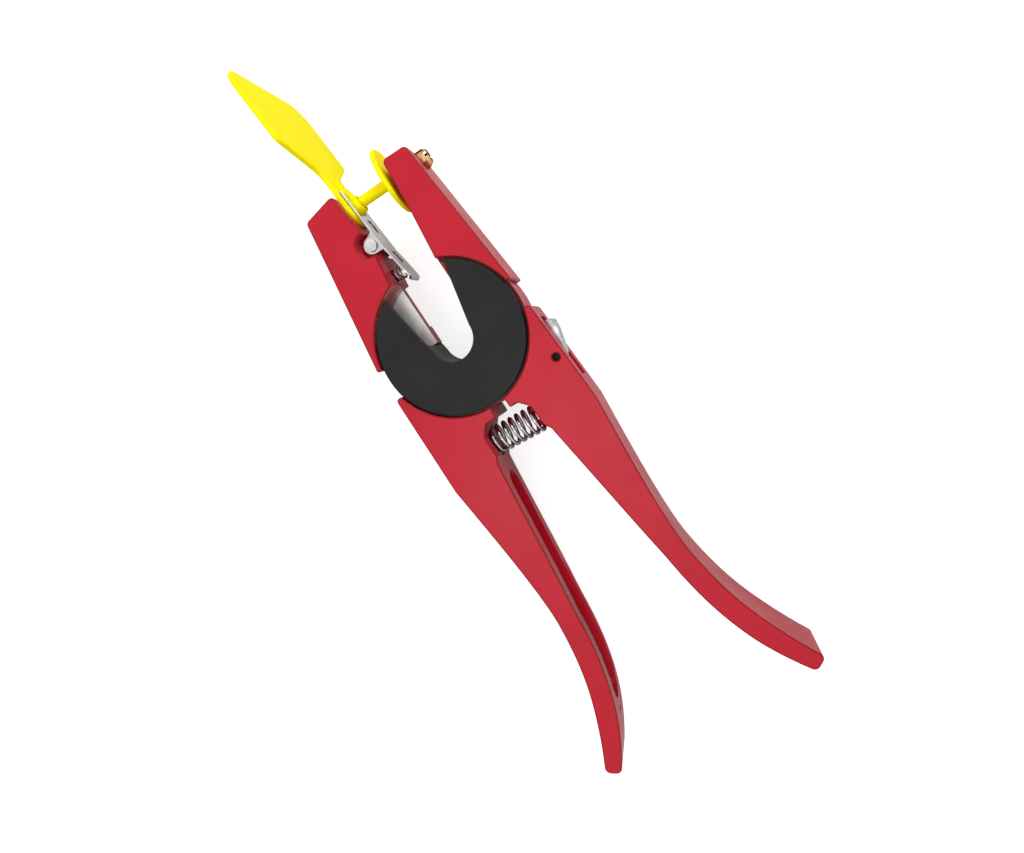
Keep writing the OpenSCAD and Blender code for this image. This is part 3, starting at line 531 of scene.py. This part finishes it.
for lever in ("pin_lever", "clip_lever"):
    low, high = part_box(lever)
    casting = merged_copy(lever)
    rounded = round_edges(casting, at_level(low.z, high.z), RIM)
    wall_mark = casting.faces.layers.float.new("wall")
    for face in casting.faces:
        face[wall_mark] = 1.0 if abs(face.normal.z) < WALL_TILT else 0.0
        face.material_index = FACED if is_faced(face) else HOLE_SHADE if is_drilled(face) else PAINTED
    kinds = [face.material_index for face in casting.faces]
    print(lever, "rim edges", rounded, "faced", kinds.count(FACED), "drilled", kinds.count(HOLE_SHADE))
    piece = keep_flats(new_piece(lever + "_casting", casting))
    stand_for(piece, red_coat, "red_paint", lever)
    piece.data.materials.append(machined)
    # The third material, dark steel, is painted shade in the drilled hole.
    piece.data.materials.append(oiled_steel_and_shade)

# %% [markdown]
# Covers and core are black plastic. Only the outer face of each cover shows, and its rim gets a
# small radius. The rear one has screw holes in that face, which would upset the rounding. So the
# face is taken off, closed again without the holes, rounded, and at last filled round them.

# %% Taking off and closing a face
def take_off(shape, level):
    faces = [face for face in shape.faces if all(at_level(level)(edge) for edge in face.edges)]
    bmesh.ops.delete(shape, geom=faces, context="FACES")
    return [edge for edge in shape.edges if edge.is_boundary]


def outline_of(edges):
    reach = max(corner.co.xy.length for edge in edges for corner in edge.verts)
    ring = [edge for edge in edges if edge.verts[0].co.xy.length > reach - LEVEL][:1]
    for edge in ring:
        near = [e for corner in edge.verts for e in corner.link_edges if e.is_boundary]
        ring.extend(e for e in near if e not in ring)
    return ring


print("a face is taken off if it lies within", LEVEL / MM, "mm of a height")

# %% Covers, core and washer
COVER_RIM = 0.4 * MM

for cover in ("front_cover", "rear_cover"):
    low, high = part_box(cover)
    outer = high.z if cover == "front_cover" else low.z
    moulding = merged_copy(cover)
    bmesh.ops.contextual_create(moulding, geom=outline_of(take_off(moulding, outer)))
    bmesh.ops.recalc_face_normals(moulding, faces=moulding.faces)
    round_edges(moulding, at_level(low.z, high.z), COVER_RIM)
    bmesh.ops.triangle_fill(moulding, edges=take_off(moulding, outer), use_beauty=True)
    bmesh.ops.recalc_face_normals(moulding, faces=moulding.faces)
    stand_for(keep_flats(new_piece(cover + "_moulding", moulding)),
              black_moulding, "black_plastic", cover)

stand_for(keep_flats(new_piece("pivot_core_moulding", merged_copy("pivot_core"))),
          core_moulding, "black_plastic", "pivot_core")
stand_for(keep_flats(new_piece("lap_washer_sheet", merged_copy("lap_washer"))),
          polished_washer, "bright_steel", "lap_washer")

# %% [markdown]
# The latch is folded from sheet, so its edges have a small radius. Pins and screws are turned, with
# small chamfers. The nut is rounded at the tip of its cap alone, since its cap just touches the six
# flats below.

# %% Latch, pins, nut and screws
FOLD_RIM = 0.28 * MM
TURNED_RIM = 0.12 * MM
TIP_DEPTH = 0.6 * MM
TIP_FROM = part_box("pin_nut")[1].x - TIP_DEPTH


def every_edge(edge):
    return True


def tip_edge(edge):
    return all(corner.co.x > TIP_FROM for corner in edge.verts)


def finish_piece(node, finish, slot, wanted, rim):
    shape = merged_copy(node)
    round_edges(shape, wanted, rim, segments=2)
    stand_for(keep_flats(new_piece(node + "_finished", shape)), finish, slot, node)


finish_piece("thumb_latch", latch_sheet, "bright_steel", every_edge, FOLD_RIM)
finish_piece("clip_pin", turned_steel, "plain_steel", every_edge, TURNED_RIM)
finish_piece("latch_pin", oiled_steel_and_shade, "plain_steel", every_edge, TURNED_RIM)
finish_piece("applicator_pin", turned_steel, "plain_steel", every_edge, TURNED_RIM)
finish_piece("pin_nut", nut_plating, "brass", tip_edge, TURNED_RIM)
for screw in sorted(node for node in nodes if node.startswith("cover_screw")):
    finish_piece(screw, turned_steel, "plain_steel", every_edge, TURNED_RIM)

# %% [markdown]
# The clip is pressed from thin sheet, with only a hair of a radius, and its tail ends in a rounded
# tongue for the thumb. The strip is cut across at a few depths, and the corners at each cut are
# drawn in along a quarter circle. The windows punched into the clip get dark steel on their walls
# as painted shade: of all faces that look forwards or backwards, they alone lie well inside the strip.

# %% Round end of the clip's tail
TAIL_TURN = math.radians(9)
TAIL_WAY = Vector((math.sin(TAIL_TURN), -math.cos(TAIL_TURN), 0))
TAIL_ROUND = 4.5 * MM
TAIL_STEPS = (0, 15, 30, 45, 60)


def cut_across(shape, place, way):
    whole = shape.verts[:] + shape.edges[:] + shape.faces[:]
    bmesh.ops.bisect_plane(shape, geom=whole, dist=MERGE, plane_co=place, plane_no=way)


strip = merged_copy("tag_clip")
tail_tip = max(corner.co.dot(TAIL_WAY) for corner in strip.verts)
round_from = tail_tip - TAIL_ROUND
for step in TAIL_STEPS:
    depth = round_from + TAIL_ROUND * math.sin(math.radians(step))
    cut_across(strip, TAIL_WAY * depth, TAIL_WAY)
for corner in strip.verts:
    past = min(max(corner.co.dot(TAIL_WAY) - round_from, 0.0), TAIL_ROUND)
    drawn_in = TAIL_ROUND - math.sqrt(TAIL_ROUND ** 2 - past ** 2)
    corner.co.z -= math.copysign(drawn_in, corner.co.z - LEVER_MIDDLE)
strip.normal_update()
print("the tail is rounded over", round(TAIL_ROUND / MM, 1), "mm")

# %% Clip
SHEET_RIM = 0.14 * MM
WINDOW_REACH = 6 * MM
WINDOW_FACING = 0.9
WINDOW_SHADE = 1


def is_window(face):
    inside = abs(face.calc_center_median().z - LEVER_MIDDLE) < WINDOW_REACH
    return inside and abs(face.normal.z) > WINDOW_FACING


round_edges(strip, every_edge, SHEET_RIM, segments=2)
# Painted shade: the faces inside the windows take the dark steel.
for face in strip.faces:
    if is_window(face):
        face.material_index = WINDOW_SHADE
clip = keep_flats(new_piece("tag_clip_finished", strip))
stand_for(clip, bright_sheet, "bright_steel", "tag_clip")
clip.data.materials.append(oiled_steel_and_shade)

# %% [markdown]
# The two halves of the tag are soft mouldings with generous edge radii. The outline of the flag's
# thin panel is rounded the most, so that its edge has no line at all. A cut across the straight
# neck gives that wide rounding a clean place to end.

# %% Tag
TAG_RIM = 0.35 * MM
PANEL_RIM = 0.85 * MM
PANEL_FROM = 77 * MM
PANEL_SIDE = 8 * MM


def is_outline(corner):
    return corner.co.y > PANEL_FROM - LEVEL and abs(corner.co.z - LEVER_MIDDLE) > PANEL_SIDE


def panel_edge(edge):
    return all(is_outline(corner) for corner in edge.verts)


def other_edge(edge):
    return not panel_edge(edge)


for half in ("tag_stud", "tag_flag"):
    moulding = merged_copy(half)
    if half == "tag_flag":
        cut_across(moulding, Vector((0, PANEL_FROM, 0)), Vector((0, 1, 0)))
    panel = round_edges(moulding, panel_edge, PANEL_RIM, segments=6)
    print(half, "panel edges", panel, "other edges", round_edges(moulding, other_edge, TAG_RIM))
    stand_for(keep_flats(new_piece(half + "_moulding", moulding)), tag_moulding, "tag_yellow", half)

# %% [markdown]
# A spring is one wire along a helix, so Geometry Nodes wind it from a handful of sizes. A straight
# line is cut into points, each point is moved to its place on the helix, and a small circle is
# swept along it. The end turns lie close together and the turns between share what is left, as on a
# compression spring with closed ends.

# %% Inputs of a wound spring
SPRING_SIZES = ("Turns", "Length", "Mean Radius", "Wire Diameter", "Closed Gap")

spring_tree = bpy.data.node_groups.new("Wound Spring", "GeometryNodeTree")
for label in SPRING_SIZES:
    spring_tree.interface.new_socket(label, in_out="INPUT", socket_type="NodeSocketFloat")
spring_tree.interface.new_socket("Finish", in_out="INPUT", socket_type="NodeSocketMaterial")
spring_tree.interface.new_socket("Spring", in_out="OUTPUT", socket_type="NodeSocketGeometry")
given = add(spring_tree, "NodeGroupInput").outputs
print("tree", spring_tree.name, "takes", ", ".join(SPRING_SIZES))

# %% Rise of the turns
POINTS_PER_TURN = 40

line = add(spring_tree, "GeometryNodeCurvePrimitiveLine")
count = maths(spring_tree, "MULTIPLY", given["Turns"], POINTS_PER_TURN)
points = add(spring_tree, "GeometryNodeResampleCurve", {"Curve": line.outputs[0], "Count": count})
share = add(spring_tree, "GeometryNodeSplineParameter").outputs["Factor"]
turn = maths(spring_tree, "MULTIPLY", share, given["Turns"])

closed = maths(spring_tree, "ADD", given["Wire Diameter"], given["Closed Gap"])
inner_turns = maths(spring_tree, "SUBTRACT", given["Turns"], 2.0)
span = maths(spring_tree, "SUBTRACT", given["Length"], given["Wire Diameter"])
open_span = maths(spring_tree, "SUBTRACT", span, maths(spring_tree, "MULTIPLY", closed, 2.0))
pitch = maths(spring_tree, "DIVIDE", open_span, inner_turns)
first = maths(spring_tree, "MINIMUM", turn, 1.0)
past_first = maths(spring_tree, "MAXIMUM", maths(spring_tree, "SUBTRACT", turn, 1.0), 0.0)
middle = maths(spring_tree, "MINIMUM", past_first, inner_turns)
last = maths(spring_tree, "SUBTRACT", past_first, middle)
end_rise = maths(spring_tree, "MULTIPLY", maths(spring_tree, "ADD", first, last), closed)
rise = maths(spring_tree, "MULTIPLY_ADD", middle, pitch, end_rise)
wire_radius = maths(spring_tree, "MULTIPLY", given["Wire Diameter"], 0.5)
lifted = maths(spring_tree, "ADD", wire_radius, rise)
print("points on each turn", POINTS_PER_TURN)

# %% Helix and wire
FULL_TURN = 2 * math.pi
WIRE_SIDES = 14

angle = maths(spring_tree, "MULTIPLY", turn, FULL_TURN)
side = maths(spring_tree, "MULTIPLY", maths(spring_tree, "COSINE", angle), given["Mean Radius"])
depth = maths(spring_tree, "MULTIPLY", maths(spring_tree, "SINE", angle), given["Mean Radius"])
spot = add(spring_tree, "ShaderNodeCombineXYZ", {"X": side, "Y": depth, "Z": lifted})
helix = add(spring_tree, "GeometryNodeSetPosition",
            {"Geometry": points.outputs[0], "Position": spot.outputs[0]})
section = add(spring_tree, "GeometryNodeCurvePrimitiveCircle",
              {"Resolution": WIRE_SIDES, "Radius": wire_radius})
wire = add(spring_tree, "GeometryNodeCurveToMesh",
           {"Curve": helix.outputs[0], "Profile Curve": section.outputs[0], "Fill Caps": True})
whole = add(spring_tree, "GeometryNodeRealizeInstances", {"Geometry": wire.outputs[0]})
coated = add(spring_tree, "GeometryNodeSetMaterial",
             {"Geometry": whole.outputs[0], "Material": given["Finish"]})
add(spring_tree, "NodeGroupOutput", {"Spring": coated.outputs[0]})
print("tree", spring_tree.name, "nodes", len(spring_tree.nodes))

# %% Winding a spring and laying it in place
WIRE_SHARP = math.radians(60)


def wind(name, sizes, finish, start, way):
    holder = new_object(name + "_wound", bpy.data.meshes.new(name + "_wound"))
    winder = holder.modifiers.new("Wound spring", "NODES")
    winder.node_group = spring_tree
    sockets = {item.name: item.identifier for item in spring_tree.interface.items_tree}
    for label, value in sizes.items():
        winder[sockets[label]] = value
    winder[sockets["Finish"]] = finish
    graph = bpy.context.evaluated_depsgraph_get()
    mesh = bpy.data.meshes.new_from_object(holder.evaluated_get(graph))
    bpy.data.objects.remove(holder)
    turned = Vector((0, 0, 1)).rotation_difference(way).to_matrix().to_4x4()
    mesh.transform(Matrix.Translation(start) @ turned)
    shade_smooth(mesh, WIRE_SHARP)
    print(name, "faces", len(mesh.polygons))
    return new_object(name, mesh)


# %% [markdown]
# The return spring sits between the handles, its ends in two round pockets. When the levers turn,
# one end goes with each, so the wire is blended between the two bodies and closes up like the real
# one.

# %% Return spring
PIN_SEAT = Vector((-14.4 * MM, -42.7 * MM, LEVER_MIDDLE))
CLIP_SEAT = Vector((11.715 * MM, -44.854 * MM, LEVER_MIDDLE))
SPRING_INSET = 0.3 * MM
COIL_DIAMETER = 12 * MM
COIL_WIRE = 1.6 * MM
COIL_TURNS = 8.5
CLOSED_GAP = 0.5 * MM

spring_way = (CLIP_SEAT - PIN_SEAT).normalized()
spring_start = PIN_SEAT + SPRING_INSET * spring_way
return_coil = wind("return_spring_coil", {
    "Turns": COIL_TURNS,
    "Length": (CLIP_SEAT - PIN_SEAT).length - 2 * SPRING_INSET,
    "Mean Radius": (COIL_DIAMETER - COIL_WIRE) / 2,
    "Wire Diameter": COIL_WIRE,
    "Closed Gap": CLOSED_GAP}, drawn_wire, spring_start, spring_way)
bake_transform(return_coil, "pin_side", "clip_side", start=tuple(PIN_SEAT), end=tuple(CLIP_SEAT))
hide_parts("return_spring")

# %% [markdown]
# A much smaller spring of the same kind lifts the tail of the clip. It stands in a pocket in the
# jaw, and its free end follows the clip.

# %% Clip spring
TAIL_COIL = 6 * MM
TAIL_WIRE = 0.8 * MM
TAIL_TURNS = 4.5

low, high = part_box("clip_spring")
tail_middle = (low.y + high.y) / 2
tail_start = Vector((low.x, tail_middle, LEVER_MIDDLE))
tail_end = Vector((high.x, tail_middle, LEVER_MIDDLE))
tail_coil = wind("clip_spring_coil", {
    "Turns": TAIL_TURNS,
    "Length": high.x - low.x,
    "Mean Radius": (TAIL_COIL - TAIL_WIRE) / 2,
    "Wire Diameter": TAIL_WIRE,
    "Closed Gap": CLOSED_GAP}, drawn_wire, tail_start, Vector((1, 0, 0)))
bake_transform(tail_coil, "clip_side", "clip", start=tuple(tail_start), end=tuple(tail_end))
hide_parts("clip_spring")

# %% [markdown]
# The pliers lie on their back. Their handle ends touch the floor, and so does the lower edge of the
# tag's flag, which hangs below the levers. The floor is laid through both, so it leans a little.

# %% Floor
FLOOR_SIZE = 4.0

rear_points = [vertex.co for node in nodes.values() for vertex in node.data.vertices]
heel = min(point.y for point in rear_points if point.z < LEVEL)
slope = max(-point.z / (point.y - heel) for point in rear_points if point.z < -LEVEL)
half = FLOOR_SIZE / 2
outline = ((-half, -half), (half, -half), (half, half), (-half, half))
corners = [(x, y, -slope * (y - heel)) for x, y in outline]
floor_mesh = bpy.data.meshes.new("floor")
floor_mesh.from_pydata(corners, [], [(0, 1, 2, 3)])
floor = new_object("floor", floor_mesh)
print("floor leans", round(math.degrees(math.atan(slope)), 2), "degrees")

# %% [markdown]
# The floor is pale paper. More light would turn it white, but would wash out the pliers too, so it
# glows for the camera instead. Reflections show only a share of that glow, small enough to keep the
# outline of bright metal clear against the white.

# %% What sees the white room
MIRRORED_SHARE = 0.2


def seen_as_white(tree, mirrored_share):
    path = add(tree, "ShaderNodeLightPath").outputs
    mirrored = maths(tree, "MAXIMUM", path["Is Glossy Ray"], path["Is Transmission Ray"])
    return maths(tree, "MULTIPLY_ADD", mirrored, mirrored_share, path["Is Camera Ray"])


print("share of the floor's glow in reflections", MIRRORED_SHARE)

# %% Floor paper
FLOOR_PALE = screen(202, 202, 202)
FLOOR_DUSTY = screen(196, 196, 196)
FLOOR_GLOW = 0.75

floor_paper, tree, shader = new_finish("Pale paper floor", Roughness=0.9, Specular_IOR_Level=0.1)
paper = use_group(tree, grain, Grain_Size=0.6 * MM, Patch_Size=60 * MM)
dusted = blend_colour(tree, paper["Patches"], FLOOR_DUSTY, FLOOR_PALE)
tree.links.new(dusted, shader.inputs["Base Color"])
glow = add(tree, "ShaderNodeEmission", {"Color": (1, 1, 1, 1), "Strength": FLOOR_GLOW})
both = add(tree, "ShaderNodeAddShader", {0: shader.outputs[0], 1: glow.outputs[0]})
seen = seen_as_white(tree, MIRRORED_SHARE)
mixed = add(tree, "ShaderNodeMixShader", {0: seen, 1: shader.outputs[0], 2: both.outputs[0]})
tree.links.new(mixed.outputs[0], tree.nodes["Material Output"].inputs["Surface"])
floor_mesh.materials.append(floor_paper)
print("finish", floor_paper.name)

# %% [markdown]
# A white ceiling lights the pliers from above, and the room grows darker towards the horizon, so
# the faces that look up are brightest. The camera, and whatever mirrors the room, sees it plain
# white. One soft box overhead leaves a sheen on the lower middle of the levers, another lights the
# side walls and the tag.

# %% White room
HORIZON = 0.05
CEILING = 0.8
ROOM_LOW = screen(105, 105, 107)
ROOM_HIGH = screen(255, 255, 255)
ROOM_SEEN = screen(250, 250, 250)
ROOM_STRENGTH = 1.05

world = bpy.data.worlds.new("White room")
world.use_nodes = True
bpy.context.scene.world = world
tree = world.node_tree
way = add(tree, "ShaderNodeTexCoord").outputs["Generated"]
height = add(tree, "ShaderNodeSeparateXYZ", {"Vector": way}).outputs["Z"]
room = blend_colour(tree, smooth_step(tree, height, HORIZON, CEILING), ROOM_LOW, ROOM_HIGH)
shown = blend_colour(tree, seen_as_white(tree, 1.0), room, ROOM_SEEN)
tree.links.new(shown, tree.nodes["Background"].inputs["Color"])
tree.nodes["Background"].inputs["Strength"].default_value = ROOM_STRENGTH
bpy.context.scene.view_settings.view_transform = "Standard"
print("world", world.name)

# %% Soft boxes
def soft_box(name, place, size, power):
    lamp = bpy.data.lights.new(name, "AREA")
    lamp.shape = "RECTANGLE"
    lamp.size, lamp.size_y = size
    lamp.energy = power
    box = new_object(name, lamp)
    box.location = place
    box.rotation_euler = (-Vector(place)).to_track_quat("-Z", "Y").to_euler()


soft_box("Sheen box", place=(-0.13, -0.13, 0.8), size=(0.3, 0.3), power=0.8)
soft_box("Side box", place=(0.34, 0.32, 0.26), size=(0.25, 0.25), power=1.25)

# %% [markdown]
# The camera looks down on the pliers from the handle side. It is given by where it stands, the
# point it looks at and the direction on the table that is up in the picture.

# %% Camera
CAMERA_PLACE = Vector((68.6 * MM, -39.1 * MM, 300 * MM))
CAMERA_AIM = Vector((-1.8 * MM, -41.8 * MM, 12 * MM))
PICTURE_UP = math.radians(34.44)
LENS = 25.84
NEAREST = 10 * MM

back = (CAMERA_PLACE - CAMERA_AIM).normalized()
up_hint = Vector((math.sin(PICTURE_UP), math.cos(PICTURE_UP), 0))
right = up_hint.cross(back).normalized()
up = back.cross(right)
facing = Matrix((right, up, back)).transposed().to_4x4()
eye = bpy.data.cameras.new("Camera")
eye.lens = LENS
eye.clip_start = NEAREST
camera = new_object("Camera", eye)
camera.matrix_world = Matrix.Translation(CAMERA_PLACE) @ facing
bpy.context.scene.camera = camera
print("camera at", [round(v, 3) for v in CAMERA_PLACE])
